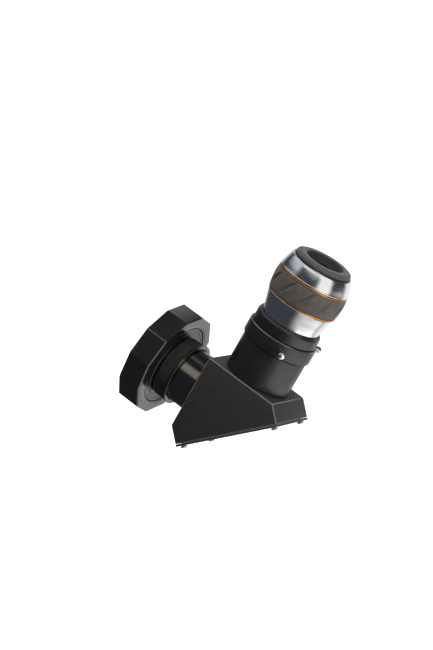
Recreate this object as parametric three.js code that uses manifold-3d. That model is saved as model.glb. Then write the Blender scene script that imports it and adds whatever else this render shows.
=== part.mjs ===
// Two-inch mirror star diagonal with a wide-field eyepiece, on the adapter that fastens it to a
// telescope's rear port. Millimetres, +Z up. The origin is the centre of the lock ring's back face,
// where the telescope's rear port meets it. The light enters along -Y, meets the mirror at 45 degrees
// and leaves along +Z through the eyepiece.
import * as THREE from 'three';
import { mergeVertices } from 'three/addons/utils/BufferGeometryUtils.js';
import Module from 'manifold-3d';

const wasm = await Module();
wasm.setup();

// ---- Driving dimensions -------------------------------------------------------------------------
const GAP = 0.3;                    // clearance between neighbouring pieces
const ROUND = 32;                   // sides of a large turned piece
const SMALL_ROUND = 16;             // sides of a screw, pin or small hole
const BARREL_R = 25.4;              // two-inch barrel
const BARREL_BORE_R = 22.8;         // light path through the eyepiece barrel
const HOLDER_BORE_R = 25.7;         // sliding bore for the barrel
const NOSE_R = 25.2;                // nose tube of the diagonal
const NOSE_BORE_R = 22.5;
const NOSE_THREAD_R = 24.3;         // nose tube's threaded end, in the housing
const FLANGE_R = 26.4;              // nose flange and the adapter's threaded stub

const FACE_N = 58;                  // housing front face, measured from the port
const EYE_N = 92.9;                 // eyepiece axis, measured from the port
const TOP_Z = 34.9;                 // housing top face
const LEG = 68;                     // length of the housing's two straight faces
const BLUNT = 18.95;                // length of the housing's two blunt end faces
const WIDTH = 60.5;                 // housing width along X
const COVER_T = 2;                  // mirror cover thickness
const EDGE_BEVEL = 0.6;

const RING_CORNERS = 12;
const RING_CORNER_R = 48.5;
const RING_LENGTH = 22;
const RING_CHAMFER = 0.8;
const RING_TURN = THREE.MathUtils.degToRad(4);
const PORT_THREAD_R = 42.5;         // female thread for the telescope's rear port
const PORT_SEAT_N = 7;              // depth of the seat inside the lock ring

const SCREW_ANGLES = [-150, -30];   // thumbscrews, in degrees from +X towards +Y
const SCREW_H = 39.7;               // thumbscrew height above the housing top face
const SCREW_R = 2;
const KNOB_R = 3;

// ---- Materials ----------------------------------------------------------------------------------
function paint(color, roughness, metalness) {
  return () => new THREE.MeshStandardMaterial({ color, roughness, metalness });
}

const glossBlack = paint(0x141414, 0.18, 0.6);
const satinBlack = paint(0x2b2826, 0.42, 0.5);
const crinkleBlack = paint(0x32302d, 0.7, 0.1);
const silver = paint(0xc9ccd0, 0.16, 1.0);
const orange = paint(0xc86414, 0.3, 0.9);
const rubber = paint(0x4a4642, 0.75, 0.0);
const chrome = paint(0xe4e4e6, 0.08, 1.0);
const steel = paint(0x8c8c8c, 0.3, 1.0);
const brass = paint(0xb58a3c, 0.3, 1.0);
const nylon = paint(0xe8e6dc, 0.5, 0.0);
const glass = paint(0x8f9fa8, 0.05, 0.0);
const mirrorCoat = paint(0xdfe4e8, 0.03, 1.0);

// ---- Solids -------------------------------------------------------------------------------------
function signedVolume(position, index) {
  const a = new THREE.Vector3();
  const b = new THREE.Vector3();
  const c = new THREE.Vector3();
  let total = 0;
  for (let i = 0; i < index.length; i += 3) {
    a.fromBufferAttribute(position, index[i]);
    b.fromBufferAttribute(position, index[i + 1]);
    c.fromBufferAttribute(position, index[i + 2]);
    total += a.dot(b.cross(c));
  }
  return total / 6;
}

// Shares the vertices, drops the empty triangles at a pole, and turns the faces outwards.
function closed(geometry) {
  const bare = geometry.clone();
  bare.deleteAttribute('normal');
  bare.deleteAttribute('uv');
  const merged = mergeVertices(bare, 1e-4);
  const source = merged.index.array;
  const kept = [];
  for (let i = 0; i < source.length; i += 3) {
    const [a, b, c] = [source[i], source[i + 1], source[i + 2]];
    if (a !== b && b !== c && c !== a) kept.push(a, b, c);
  }
  if (signedVolume(merged.attributes.position, kept) < 0) kept.reverse();
  merged.setIndex(kept);
  return merged;
}

function toSolid(geometry) {
  const shell = closed(geometry);
  return new wasm.Manifold(new wasm.Mesh({
    numProp: 3,
    vertProperties: new Float32Array(shell.attributes.position.array),
    triVerts: new Uint32Array(shell.index.array),
  }));
}

function toGeometry(solid) {
  const mesh = solid.getMesh();
  const geometry = new THREE.BufferGeometry();
  geometry.setAttribute('position', new THREE.BufferAttribute(new Float32Array(mesh.vertProperties), 3));
  geometry.setIndex([...mesh.triVerts]);
  return geometry;
}

function cut(base, tools) {
  let solid = toSolid(base);
  for (const tool of tools) solid = solid.subtract(toSolid(tool));
  return toGeometry(solid);
}

// A turned piece about its local Y axis. The outline is a list of [radius, height] pairs.
function turned(outline, sides = ROUND) {
  const points = outline.map(([r, h]) => new THREE.Vector2(r, h));
  const onAxis = outline[0][0] === 0 && outline.at(-1)[0] === 0;
  if (!onAxis) points.push(points[0].clone());
  return closed(new THREE.LatheGeometry(points, sides));
}

function tube(inner, outer, low, high, sides = ROUND) {
  return turned([[inner, low], [outer, low], [outer, high], [inner, high]], sides);
}

function rod(radius, low, high, sides = SMALL_ROUND) {
  return turned([[0, low], [radius, low], [radius, high], [0, high]], sides);
}

function mesh(parent, name, geometry, material) {
  const part = new THREE.Mesh(geometry, material());
  part.geometry.computeVertexNormals();
  part.name = name;
  parent.add(part);
  return part;
}

// ---- Frames -------------------------------------------------------------------------------------
const object = new THREE.Group();

// Local +Y runs out of the port along the nose, so a turned piece's heights are distances n.
const nose = new THREE.Group();
nose.rotation.x = Math.PI;
object.add(nose);

// Local +Y runs up the eyepiece from the housing top face.
const eye = new THREE.Group();
eye.position.set(0, -EYE_N, TOP_Z);
eye.rotation.x = Math.PI / 2;
object.add(eye);

// Side view of the housing: local x is the distance n, local y is Z, and local z is the width.
const side = new THREE.Group();
const sideBasis = new THREE.Matrix4().makeBasis(
  new THREE.Vector3(0, -1, 0),
  new THREE.Vector3(0, 0, 1),
  new THREE.Vector3(-1, 0, 0),
);
side.quaternion.setFromRotationMatrix(sideBasis);
object.add(side);

// The mirror cover's outer face is the housing's long sloping side.
const HALF_SQRT = Math.SQRT1_2;
const highEnd = new THREE.Vector2(FACE_N + LEG + BLUNT * HALF_SQRT, TOP_Z - BLUNT * HALF_SQRT);
const lowEnd = new THREE.Vector2(FACE_N + BLUNT * HALF_SQRT, TOP_Z - LEG - BLUNT * HALF_SQRT);
const slopeMiddle = highEnd.clone().add(lowEnd).multiplyScalar(0.5);
const SLOPE_LENGTH = highEnd.distanceTo(lowEnd);
const MIRROR_DEPTH = (slopeMiddle.x - slopeMiddle.y - EYE_N) * HALF_SQRT;

// Local +Y runs inwards from the slope, local x up the slope, local z across the housing.
const slope = new THREE.Matrix4().makeRotationZ(Math.PI / 4).setPosition(slopeMiddle.x, slopeMiddle.y, 0);

function slopeBox(length, depthFrom, depthTo, width, along = 0) {
  const box = new THREE.BoxGeometry(length, depthTo - depthFrom, width);
  box.translate(along, (depthFrom + depthTo) / 2, 0);
  return box.applyMatrix4(slope);
}

// ---- Rear port ----------------------------------------------------------------------------------
const THREAD_END_N = 14.3;
const WALL_BORE_R = 37.6;
const ADAPTER_FACE_N = 21.2;
const STUB_END_N = 29;
const ADAPTER_BORE_R = 22;

function ringBlank() {
  const edge = RING_CORNER_R - RING_CHAMFER;
  return turned([
    [0, 0], [edge, 0], [RING_CORNER_R, RING_CHAMFER], [RING_CORNER_R, RING_LENGTH - RING_CHAMFER],
    [edge, RING_LENGTH], [0, RING_LENGTH],
  ], RING_CORNERS);
}

function lockRing() {
  const threadBore = rod(PORT_THREAD_R, -1, THREAD_END_N, ROUND);
  const wallBore = rod(WALL_BORE_R, THREAD_END_N - 1, RING_LENGTH + 1, ROUND);
  return cut(ringBlank(), [threadBore, wallBore]);
}

function portAdapter() {
  const bodyR = WALL_BORE_R - 2 * GAP;
  return turned([
    [ADAPTER_BORE_R, PORT_SEAT_N], [PORT_THREAD_R - 2 * GAP, PORT_SEAT_N],
    [PORT_THREAD_R - 2 * GAP, THREAD_END_N - GAP], [bodyR, THREAD_END_N - GAP], [bodyR, ADAPTER_FACE_N],
    [FLANGE_R, ADAPTER_FACE_N], [FLANGE_R, STUB_END_N], [ADAPTER_BORE_R, STUB_END_N],
  ]);
}

const COUPLING_START_N = RING_LENGTH + GAP;
const COUPLING_END_N = 36.8;
const FLANGE_END_N = 32;
const COUPLING_R = 28.4;
const COUPLING_LIP_R = 29.25;       // smooth lip beyond the knurl
const COUPLING_LIP_N = 34.8;

function couplingRing() {
  const threadR = FLANGE_R + GAP;
  const mouthR = NOSE_R + GAP;
  return turned([
    [threadR, COUPLING_START_N], [COUPLING_R, COUPLING_START_N], [COUPLING_R, COUPLING_LIP_N],
    [COUPLING_LIP_R, COUPLING_LIP_N + 0.6], [COUPLING_LIP_R, COUPLING_END_N], [mouthR, COUPLING_END_N],
    [mouthR, FLANGE_END_N + GAP], [threadR, FLANGE_END_N + GAP],
  ]);
}

// ---- Diagonal -----------------------------------------------------------------------------------
const NOSE_SHOULDER_N = FACE_N - GAP;
const NOSE_TIP_N = FACE_N + 3.5;
const NOSE_RING_N = 56;
const NOSE_RING_R = 27;
const LIGHT_BORE_R = 23;
const SPIGOT_R = 26.6;
const SPIGOT_DEPTH = 4;
const POCKET_LENGTH = 70;
const POCKET_WIDTH = 52;
const MIRROR_T = 8;
const MIRROR_LENGTH = 66;
const MIRROR_WIDTH = 48;
const CARRIER_T = 5;
const PAD_LENGTH = 14;
const PAD_WIDTH = 40;
const PAD_ALONG = 22;               // pads' distance from the middle of the slope
const SCREW_INSET = 5;
const COVER_SCREW_R = 1.5;
const COVER_HOLE_R = 1.8;
const COVER_HEAD_R = 2.8;
const COVER_HEAD_TOP = -2.2;
const COVER_SCREW_END = 9.5;

function noseBarrel() {
  return turned([
    [NOSE_BORE_R, STUB_END_N + GAP], [FLANGE_R, STUB_END_N + GAP], [FLANGE_R, FLANGE_END_N],
    [NOSE_R, FLANGE_END_N], [NOSE_R, NOSE_SHOULDER_N], [NOSE_THREAD_R, NOSE_SHOULDER_N],
    [NOSE_THREAD_R, NOSE_TIP_N], [NOSE_BORE_R, NOSE_TIP_N],
  ]);
}

const coverScrewPlaces = [1, -1].flatMap((end) => [1, -1].map((across) => ({
  along: end * (SLOPE_LENGTH / 2 - SCREW_INSET),
  across: across * (WIDTH / 2 - SCREW_INSET),
})));

function onSlope(geometry, place) {
  geometry.translate(place.along, 0, place.across);
  return geometry.applyMatrix4(slope);
}

function housing() {
  const skin = COVER_T + GAP;
  const inwards = new THREE.Vector2(-HALF_SQRT, HALF_SQRT).multiplyScalar(skin);
  const outline = new THREE.Shape([
    new THREE.Vector2(FACE_N, TOP_Z),
    new THREE.Vector2(FACE_N, TOP_Z - LEG),
    lowEnd.clone().add(inwards),
    highEnd.clone().add(inwards),
    new THREE.Vector2(FACE_N + LEG, TOP_Z),
  ]);
  const block = new THREE.ExtrudeGeometry(outline, {
    depth: WIDTH - 2 * EDGE_BEVEL,
    bevelSize: EDGE_BEVEL,
    bevelOffset: -EDGE_BEVEL,
    bevelThickness: EDGE_BEVEL,
    bevelSegments: 1,
  });
  block.translate(0, 0, EDGE_BEVEL - WIDTH / 2);
  const alongNose = new THREE.Matrix4().makeRotationZ(-Math.PI / 2);
  const noseSocket = rod(NOSE_THREAD_R + GAP, FACE_N - 1, NOSE_TIP_N + GAP, ROUND).applyMatrix4(alongNose);
  const entry = rod(LIGHT_BORE_R, FACE_N, EYE_N + LIGHT_BORE_R, ROUND).applyMatrix4(alongNose);
  const holderSocket = rod(SPIGOT_R + GAP, TOP_Z - SPIGOT_DEPTH - GAP, TOP_Z + 1, ROUND);
  const exit = rod(LIGHT_BORE_R, -LIGHT_BORE_R, TOP_Z, ROUND);
  holderSocket.translate(EYE_N, 0, 0);
  exit.translate(EYE_N, 0, 0);
  const pocket = slopeBox(POCKET_LENGTH, -1, MIRROR_DEPTH + GAP, POCKET_WIDTH);
  const holes = coverScrewPlaces.map((place) => onSlope(rod(COVER_HOLE_R, -1, 11), place));
  return cut(block, [noseSocket, entry, holderSocket, exit, pocket, ...holes]);
}

function mirrorCover() {
  const holes = coverScrewPlaces.map((place) => onSlope(rod(COVER_HOLE_R, -1, COVER_T + 1), place));
  return cut(slopeBox(SLOPE_LENGTH, 0, COVER_T, WIDTH), holes);
}

function coverScrew(place) {
  const screw = turned([
    [0, COVER_HEAD_TOP], [COVER_HEAD_R - 1, COVER_HEAD_TOP], [COVER_HEAD_R, COVER_HEAD_TOP + 0.8],
    [COVER_HEAD_R, -GAP], [COVER_SCREW_R, -GAP], [COVER_SCREW_R, COVER_SCREW_END], [0, COVER_SCREW_END],
  ], SMALL_ROUND);
  return onSlope(screw, place);
}

// ---- Eyepiece holder ----------------------------------------------------------------------------
const BARREL_STOP_H = 19;
const TUBE_TOP_H = 32.2;
const CLAMP_LOW_H = TUBE_TOP_H + GAP;
const CLAMP_TOP_H = 46.2;
const GROOVE_LOW_H = 35.5;
const GROOVE_TOP_H = 43.8;
const GROOVE_R = 27;
const HOLDER_TOP_H = 57.2;
const HOLDER_R = 29;
const CLAMP_R = 30.7;
const CLAMP_CHAMFER = 0.7;
const TOP_RING_R = 28.9;
const SPLIT_WIDTH = 2.5;            // gap in the compression ring

function holderTube() {
  return turned([
    [SPIGOT_R - 2, -SPIGOT_DEPTH], [SPIGOT_R, -SPIGOT_DEPTH], [SPIGOT_R, GAP], [HOLDER_R, GAP],
    [HOLDER_R, TUBE_TOP_H], [HOLDER_BORE_R, TUBE_TOP_H], [HOLDER_BORE_R, BARREL_STOP_H],
    [SPIGOT_R - 2, BARREL_STOP_H],
  ]);
}

// A radial rod in the eyepiece frame, from one radius to another, at an angle from +X towards +Y.
function placeRadial(geometry, degrees) {
  const angle = THREE.MathUtils.degToRad(degrees);
  const lay = new THREE.Matrix4().makeRotationZ(-Math.PI / 2);
  const turn = new THREE.Matrix4().makeRotationY(angle);
  return geometry.applyMatrix4(lay).applyMatrix4(turn).translate(0, SCREW_H, 0);
}

function clampBody() {
  const edge = CLAMP_R - CLAMP_CHAMFER;
  const ring = turned([
    [HOLDER_BORE_R, CLAMP_LOW_H], [edge, CLAMP_LOW_H], [CLAMP_R, CLAMP_LOW_H + CLAMP_CHAMFER],
    [CLAMP_R, CLAMP_TOP_H - CLAMP_CHAMFER], [edge, CLAMP_TOP_H], [GROOVE_R, CLAMP_TOP_H],
    [GROOVE_R, GROOVE_LOW_H], [HOLDER_BORE_R, GROOVE_LOW_H],
  ]);
  return cut(ring, SCREW_ANGLES.map((a) => placeRadial(rod(SCREW_R + GAP, GROOVE_R - 3, 35), a)));
}

function holderTopRing() {
  return turned([
    [HOLDER_BORE_R, GROOVE_TOP_H], [GROOVE_R - GAP, GROOVE_TOP_H], [GROOVE_R - GAP, CLAMP_TOP_H + GAP],
    [TOP_RING_R, CLAMP_TOP_H + GAP], [TOP_RING_R, HOLDER_TOP_H - 2.6],
    [TOP_RING_R - 0.6, HOLDER_TOP_H - 0.8], [TOP_RING_R - 1.8, HOLDER_TOP_H],
    [HOLDER_BORE_R, HOLDER_TOP_H],
  ]);
}

function compressionRing() {
  const ring = tube(BARREL_R + 0.35, GROOVE_R - 0.4, GROOVE_LOW_H + GAP, GROOVE_TOP_H - GAP);
  const split = new THREE.BoxGeometry(SPLIT_WIDTH, 20, 10);
  split.translate(0, SCREW_H, -BARREL_R - 1);
  return cut(ring, [split]);
}

const TIP_START_R = GROOVE_R - 0.05;
const SHANK_START_R = TIP_START_R + 1.55;
const TIP_R = 1.7;
const TIP_STEM_R = 0.8;
const TIP_STEM_START_R = TIP_START_R + 1.2;
const TIP_END_R = TIP_START_R + 3.4;
const TIP_HOLE_END_R = 31.2;
const KNOB_START_R = 34;
const KNOB_END_R = 44;

function screwTip() {
  return turned([
    [0, TIP_START_R], [TIP_R, TIP_START_R], [TIP_R, TIP_STEM_START_R], [TIP_STEM_R, TIP_STEM_START_R],
    [TIP_STEM_R, TIP_END_R], [0, TIP_END_R],
  ], SMALL_ROUND);
}

function thumbscrew() {
  const holeR = TIP_STEM_R + GAP;
  const collarR = SCREW_R + 0.5;
  return turned([
    [0, TIP_HOLE_END_R], [holeR, TIP_HOLE_END_R], [holeR, SHANK_START_R], [SCREW_R, SHANK_START_R],
    [SCREW_R, KNOB_START_R - 1.6], [collarR, KNOB_START_R - 1.6], [collarR, KNOB_START_R - 0.6],
    [KNOB_R, KNOB_START_R], [KNOB_R, KNOB_END_R - 1.8], [2.3, KNOB_END_R - 0.5], [0, KNOB_END_R],
  ], SMALL_ROUND);
}

// ---- Eyepiece -----------------------------------------------------------------------------------
const BODY_LOW_H = HOLDER_TOP_H + GAP;
const BODY_TOP_H = 98.4;
const BODY_BORE_R = 24.3;
const UNDERCUT_LOW_H = 29.5;        // safety groove round the barrel
const UNDERCUT_TOP_H = 47.5;
const SEAT_R = 28.8;                // body radius under the grip and the accent rings
const GRIP_LOW_H = 78.2;
const GRIP_TOP_H = 96.9;
const ACCENT_LOW_H = 76.6;
const OPTICS_R = 24;
const OPTICS_LOW_H = 66.6;
const NECK_R = 22.4;                // optics tube inside the twist collar
const NECK_LOW_H = 96;
const OPTICS_TOP_H = 107.5;
const EYE_LIP_R = 13.5;             // opening over the eye lens
const EYE_LIP_H = 104.6;
const LENS_R = 18.6;
const LENS_CURVE_R = 16.2;
const LENS_SIDES = 24;
const SPACER_R = 16.6;
const STOP_R = 15;
const COLLAR_LOW_H = BODY_TOP_H + GAP;
const COLLAR_BORE_R = 25.2;
const COLLAR_TOP_H = 111.8;
const CARRIER_TOP_H = 112.1;
const CARRIER_LOW_H = 100.5;
const CARRIER_BORE_R = 23.1;
const CARRIER_LIP_R = 20.5;

function eyepieceBarrel() {
  const end = BARREL_STOP_H + 2;
  const undercut = BARREL_R - 0.5;
  return turned([
    [BARREL_BORE_R, end], [undercut, end], [BARREL_R, end + 0.5], [BARREL_R, UNDERCUT_LOW_H - 0.5],
    [undercut, UNDERCUT_LOW_H], [undercut, UNDERCUT_TOP_H], [BARREL_R, UNDERCUT_TOP_H + 0.5],
    [BARREL_R, HOLDER_TOP_H],
    [OPTICS_R, HOLDER_TOP_H], [OPTICS_R, OPTICS_LOW_H - GAP], [BARREL_BORE_R, OPTICS_LOW_H - GAP],
  ]);
}

function eyepieceBody() {
  return turned([
    [BODY_BORE_R, BODY_LOW_H], [26.2, BODY_LOW_H], [26.4, 60], [27.5, 65], [28.6, 69], [29.6, 73],
    [30.5, ACCENT_LOW_H - GAP], [SEAT_R, ACCENT_LOW_H - GAP], [SEAT_R, BODY_TOP_H], [BODY_BORE_R, BODY_TOP_H],
  ]);
}

function gripSleeve() {
  const inner = SEAT_R + GAP;
  return turned([
    [inner, GRIP_LOW_H], [31.1, GRIP_LOW_H], [31.6, 81.5], [32, 86], [32.1, 89], [31.9, 93],
    [31.5, GRIP_TOP_H], [inner, GRIP_TOP_H],
  ]);
}

function opticsTube() {
  return turned([
    [LENS_R + GAP, OPTICS_LOW_H], [OPTICS_R, OPTICS_LOW_H], [OPTICS_R, NECK_LOW_H], [NECK_R, NECK_LOW_H],
    [NECK_R, OPTICS_TOP_H], [EYE_LIP_R, OPTICS_TOP_H], [EYE_LIP_R, EYE_LIP_H], [LENS_R + GAP, EYE_LIP_H],
  ]);
}

// A lens with curved faces inside a flat seating rim. The rim runs from low to high, and each face
// stands proud of it by its sag at the middle.
function lens(low, high, lowSag, highSag) {
  const steps = 3;
  const curve = (height, sag, i) => [LENS_CURVE_R * i / steps, height + sag * (1 - (i / steps) ** 2)];
  const rings = [...Array(steps + 1).keys()];
  return turned([
    ...rings.map((i) => curve(low, -lowSag, i)),
    [LENS_R, low],
    [LENS_R, high],
    ...rings.reverse().map((i) => curve(high, highSag, i)),
  ], LENS_SIDES);
}

function twistCollar() {
  return turned([
    [NECK_R + GAP, COLLAR_LOW_H], [31.2, COLLAR_LOW_H], [30.9, 99.8], [30, 103], [29.2, 106], [28.4, 108.5],
    [27.7, 110.6], [26.8, COLLAR_TOP_H], [COLLAR_BORE_R, COLLAR_TOP_H], [COLLAR_BORE_R, CARRIER_LOW_H - GAP],
    [NECK_R + GAP, CARRIER_LOW_H - GAP],
  ]);
}

function eyecupCarrier() {
  const outer = COLLAR_BORE_R - GAP;
  return turned([
    [CARRIER_BORE_R, CARRIER_LOW_H], [outer, CARRIER_LOW_H], [outer, CARRIER_TOP_H],
    [CARRIER_LIP_R, CARRIER_TOP_H], [CARRIER_LIP_R, CARRIER_TOP_H - 1.2],
    [CARRIER_BORE_R, CARRIER_TOP_H - 1.2],
  ]);
}

function eyecup() {
  const outer = COLLAR_BORE_R - GAP;
  const low = CARRIER_TOP_H + GAP;
  return turned([
    [17.4, low], [outer, low], [outer, 114.8], [24.2, 115.9], [23.2, 116.3], [18, 115.6],
    [16.4, 115.2], [15.9, 114.4], [14.9, 108.6], [16.4, 108.6],
  ]);
}

// ---- Assembly -----------------------------------------------------------------------------------
mesh(nose, 'port_lock_ring', lockRing(), glossBlack).rotation.y = -RING_TURN;
mesh(nose, 'port_adapter', portAdapter(), satinBlack);
mesh(nose, 'coupling_ring', couplingRing(), satinBlack);
mesh(nose, 'nose_barrel', noseBarrel(), glossBlack);
mesh(nose, 'nose_lock_ring', tube(NOSE_R + GAP, NOSE_RING_R, NOSE_RING_N, NOSE_SHOULDER_N), silver);

mesh(side, 'diagonal_housing', housing(), crinkleBlack);
mesh(side, 'mirror_cover', mirrorCover(), crinkleBlack);
coverScrewPlaces.forEach((place, i) => mesh(side, `cover_screw_${i + 1}`, coverScrew(place), steel));
const mirrorBack = MIRROR_DEPTH - MIRROR_T;
const carrierBack = mirrorBack - GAP - CARRIER_T;
const mirrorBlock = slopeBox(MIRROR_LENGTH, mirrorBack, MIRROR_DEPTH, MIRROR_WIDTH);
const carrierBlock = slopeBox(MIRROR_LENGTH, carrierBack, mirrorBack - GAP, MIRROR_WIDTH);
const pad = (along) => slopeBox(PAD_LENGTH, COVER_T + GAP, carrierBack - GAP, PAD_WIDTH, along);
mesh(side, 'diagonal_mirror', closed(mirrorBlock), mirrorCoat);
mesh(side, 'mirror_carrier', closed(carrierBlock), satinBlack);
mesh(side, 'mirror_pad_upper', closed(pad(PAD_ALONG)), rubber);
mesh(side, 'mirror_pad_lower', closed(pad(-PAD_ALONG)), rubber);

mesh(eye, 'holder_tube', holderTube(), satinBlack);
mesh(eye, 'clamp_body', clampBody(), satinBlack);
mesh(eye, 'holder_top_ring', holderTopRing(), satinBlack);
mesh(eye, 'compression_ring', compressionRing(), brass);
SCREW_ANGLES.forEach((angle, i) => {
  mesh(eye, `thumbscrew_tip_${i + 1}`, placeRadial(screwTip(), angle), nylon);
  mesh(eye, `thumbscrew_${i + 1}`, placeRadial(thumbscrew(), angle), chrome);
});

mesh(eye, 'eyepiece_barrel', eyepieceBarrel(), silver);
mesh(eye, 'eyepiece_body', eyepieceBody(), silver);
mesh(eye, 'accent_ring_lower', tube(SEAT_R + GAP, 31, ACCENT_LOW_H, GRIP_LOW_H - GAP), orange);
mesh(eye, 'grip_sleeve', gripSleeve(), rubber);
mesh(eye, 'accent_ring_upper', tube(SEAT_R + GAP, 31.4, GRIP_TOP_H + GAP, BODY_TOP_H), orange);
mesh(eye, 'optics_tube', opticsTube(), satinBlack);
mesh(eye, 'field_stop_ring', tube(STOP_R, LENS_R, 69.5, 71.5), satinBlack);
mesh(eye, 'field_lens', lens(73.5, 77, 1.5, 1.5), glass);
mesh(eye, 'lens_spacer_lower', tube(SPACER_R, LENS_R, 77.3, 86), satinBlack);
mesh(eye, 'middle_lens', lens(86.3, 89.5, -1, 2), glass);
mesh(eye, 'lens_spacer_upper', tube(SPACER_R, LENS_R, 89.8, 97), satinBlack);
mesh(eye, 'eye_lens', lens(97.3, 102.5, 1.5, 1.5), glass);
mesh(eye, 'twist_collar', twistCollar(), silver);
mesh(eye, 'eyecup_carrier', eyecupCarrier(), satinBlack);
mesh(eye, 'eyecup', eyecup(), rubber);

export default object;
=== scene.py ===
import math

import bmesh
import bpy
from mathutils import Matrix, Vector


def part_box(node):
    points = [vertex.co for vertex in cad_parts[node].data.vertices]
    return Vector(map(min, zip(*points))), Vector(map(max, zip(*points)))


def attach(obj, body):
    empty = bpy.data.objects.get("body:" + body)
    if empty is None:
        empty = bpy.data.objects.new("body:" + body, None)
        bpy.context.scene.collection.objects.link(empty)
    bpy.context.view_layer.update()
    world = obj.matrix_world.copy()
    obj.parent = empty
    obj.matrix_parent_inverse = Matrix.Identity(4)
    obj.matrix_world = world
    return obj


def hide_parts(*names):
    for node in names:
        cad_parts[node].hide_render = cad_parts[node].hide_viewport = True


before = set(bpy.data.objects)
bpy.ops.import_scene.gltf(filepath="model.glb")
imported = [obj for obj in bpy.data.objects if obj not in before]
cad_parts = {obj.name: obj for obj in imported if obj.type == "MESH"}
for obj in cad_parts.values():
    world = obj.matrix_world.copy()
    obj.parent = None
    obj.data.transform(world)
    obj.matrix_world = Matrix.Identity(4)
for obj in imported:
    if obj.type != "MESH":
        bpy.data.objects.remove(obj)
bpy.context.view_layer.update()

MM = 0.001
TAU = 2 * math.pi


# ---- Frames ---------------------------------------------------------------------------------
# EYE: local z runs up the eyepiece from the housing's top face. NOSE: local z runs out of the port.
# SLOPE: local z leaves the mirror cover's outer face, local x runs up the slope. All in millimetres.
HOUSING_LOW, HOUSING_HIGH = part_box("diagonal_housing")
COVER_LOW, COVER_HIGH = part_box("mirror_cover")
TUBE_LOW, TUBE_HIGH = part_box("holder_tube")
EYE_Y = (TUBE_LOW.y + TUBE_HIGH.y) / 2
TOP_Z = HOUSING_HIGH.z
EYE_N = -EYE_Y / MM
SCALE = Matrix.Scale(MM, 4)
EYE = Matrix.Translation((0, EYE_Y, TOP_Z)) @ SCALE
NOSE = Matrix(((1, 0, 0, 0), (0, 0, -1, 0), (0, 1, 0, 0), (0, 0, 0, 1))) @ SCALE


def eye_span(node):
    low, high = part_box(node)
    return (low.z - TOP_Z) / MM, (high.z - TOP_Z) / MM


def nose_span(node):
    low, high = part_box(node)
    return -high.y / MM, -low.y / MM


# ---- Shader nodes ---------------------------------------------------------------------------
def link(tree, source, target):
    tree.links.new(source, target)


def add(tree, kind, **inputs):
    """A shader node. An input is a number, a colour or another node's output."""
    node = tree.nodes.new(kind)
    for name, value in inputs.items():
        socket = node.inputs[int(name[1:])] if name[1:].isdigit() else node.inputs[name.replace("_", " ")]
        if isinstance(value, bpy.types.NodeSocket):
            link(tree, value, socket)
        else:
            socket.default_value = value
    return node


def maths(tree, operation, *values):
    node = add(tree, "ShaderNodeMath", **{f"i{i}": v for i, v in enumerate(values)})
    node.operation = operation
    return node.outputs[0]


def smooth_step(tree, value, low, high, bottom=0.0, top=1.0):
    node = tree.nodes.new("ShaderNodeMapRange")
    node.interpolation_type = "SMOOTHSTEP"
    link(tree, value, node.inputs[0])
    for i, number in enumerate((low, high, bottom, top), 1):
        node.inputs[i].default_value = number
    return node.outputs[0]


def millimetres(tree):
    """The object's own coordinates in millimetres."""
    coordinates = tree.nodes.new("ShaderNodeTexCoord")
    scaled = add(tree, "ShaderNodeVectorMath", i0=coordinates.outputs["Object"])
    scaled.operation = "SCALE"
    scaled.inputs["Scale"].default_value = 1 / MM
    return scaled.outputs[0]


def turning_marks(tree, axis):
    """Coordinates that are the same all round an axis, so that noise on them makes lathe marks."""
    split = add(tree, "ShaderNodeSeparateXYZ", i0=millimetres(tree)).outputs
    if axis == "eye":
        across, other, along = split["X"], maths(tree, "ADD", split["Y"], EYE_N), split["Z"]
    else:
        across, other, along = split["X"], split["Z"], split["Y"]
    across_square = maths(tree, "MULTIPLY", across, across)
    other_square = maths(tree, "MULTIPLY", other, other)
    radius = maths(tree, "SQRT", maths(tree, "ADD", across_square, other_square))
    turn = maths(tree, "MULTIPLY", maths(tree, "ARCTAN2", other, across), 0.35)
    return add(tree, "ShaderNodeCombineXYZ", i0=radius, i1=along, i2=turn).outputs[0]


def noise_of(tree, vector, scale, detail=3.0, roughness=0.55):
    node = add(tree, "ShaderNodeTexNoise", Vector=vector, Scale=scale, Detail=detail, Roughness=roughness)
    return node.outputs[0]


def between(tree, factor, low, high):
    """A colour between two colours."""
    mix = tree.nodes.new("ShaderNodeMix")
    mix.data_type = "RGBA"
    link(tree, factor, mix.inputs[0])
    mix.inputs[6].default_value = (*low, 1)
    mix.inputs[7].default_value = (*high, 1)
    return mix.outputs[2]


def shader(name, roughness=0.5, metallic=0.0, **fixed):
    """A new material and its tree and Principled shader, with constants set on the shader itself."""
    made = bpy.data.materials.new(name)
    made.use_nodes = True
    tree = made.node_tree
    surface = tree.nodes["Principled BSDF"]
    surface.inputs["Roughness"].default_value = roughness
    surface.inputs["Metallic"].default_value = metallic
    for key, value in fixed.items():
        surface.inputs[key.replace("_", " ")].default_value = value
    return made, tree, surface


def bump(tree, surface, height, strength, distance=0.0001):
    node = add(tree, "ShaderNodeBump", Strength=strength, Distance=distance, Height=height)
    link(tree, node.outputs[0], surface.inputs["Normal"])


def anodised(name, low, high, roughness, axis, marks=0.15, metallic=0.0, ior=1.6, **fixed):
    """A machined and anodised metal: lathe marks round its axis and faint cloudy variation."""
    made, tree, surface = shader(name, roughness, metallic, IOR=ior, **fixed)
    rings = noise_of(tree, turning_marks(tree, axis), 5.0, 4.0, 0.7)
    clouds = noise_of(tree, millimetres(tree), 0.12, 3.0)
    link(tree, between(tree, clouds, low, high), surface.inputs["Base Color"])
    worn = maths(tree, "ADD", maths(tree, "MULTIPLY", rings, 0.5), maths(tree, "MULTIPLY", clouds, 0.5))
    spread = smooth_step(tree, worn, 0.3, 0.7, roughness * 0.8, roughness * 1.25)
    link(tree, spread, surface.inputs["Roughness"])
    bump(tree, surface, rings, marks, 0.00002)
    return made


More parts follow.
